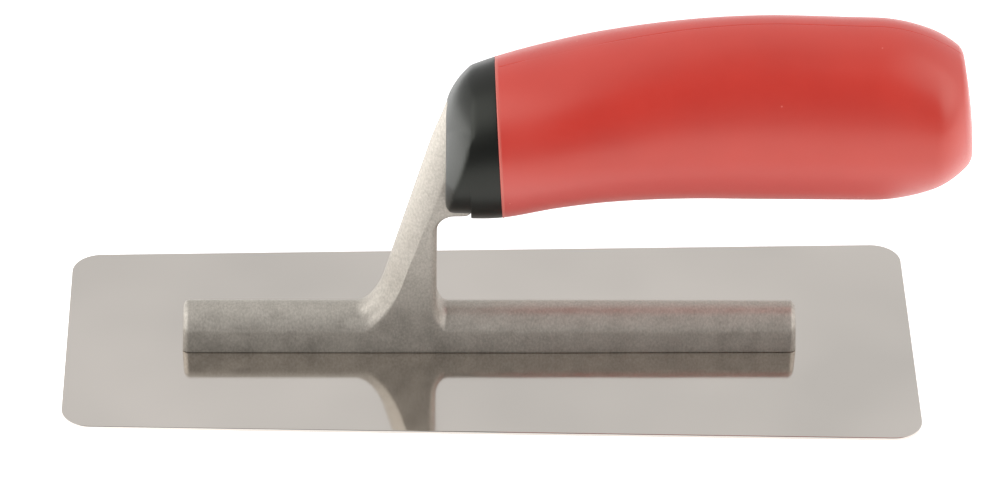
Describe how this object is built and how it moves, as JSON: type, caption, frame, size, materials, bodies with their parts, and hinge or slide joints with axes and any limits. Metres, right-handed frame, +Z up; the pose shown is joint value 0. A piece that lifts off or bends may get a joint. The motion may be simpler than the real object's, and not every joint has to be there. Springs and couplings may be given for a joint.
{
  "type": "finishing trowel",
  "caption": "Small flat finishing trowel: polished steel blade riveted under a cast aluminium spine, leaning post and a closed moulded handle over the blade.",
  "frame": {"origin": "middle of the blade's working face, which is its underside", "axes": "+X towards the heel, the handle's closed end; +Y across the blade; +Z up from the blade to the handle"},
  "size_m": [0.211, 0.0796, 0.0886],
  "materials": {
    "polished_steel": "mirror polish",
    "cast_aluminium": "blasted casting, fine grain",
    "rivet_aluminium": "ground flush",
    "black_plastic": "satin",
    "red_rubber": "satin"
  },
  "bodies": {
    "root": {"blade": "polished_steel", "bracket": "cast_aluminium", "rivet_1": "rivet_aluminium", "rivet_2": "rivet_aluminium", "rivet_3": "rivet_aluminium", "rivet_4": "rivet_aluminium", "rivet_5": "rivet_aluminium", "rivet_6": "rivet_aluminium", "handle_core": "black_plastic", "grip": "red_rubber"}
  },
  "joints": []
}
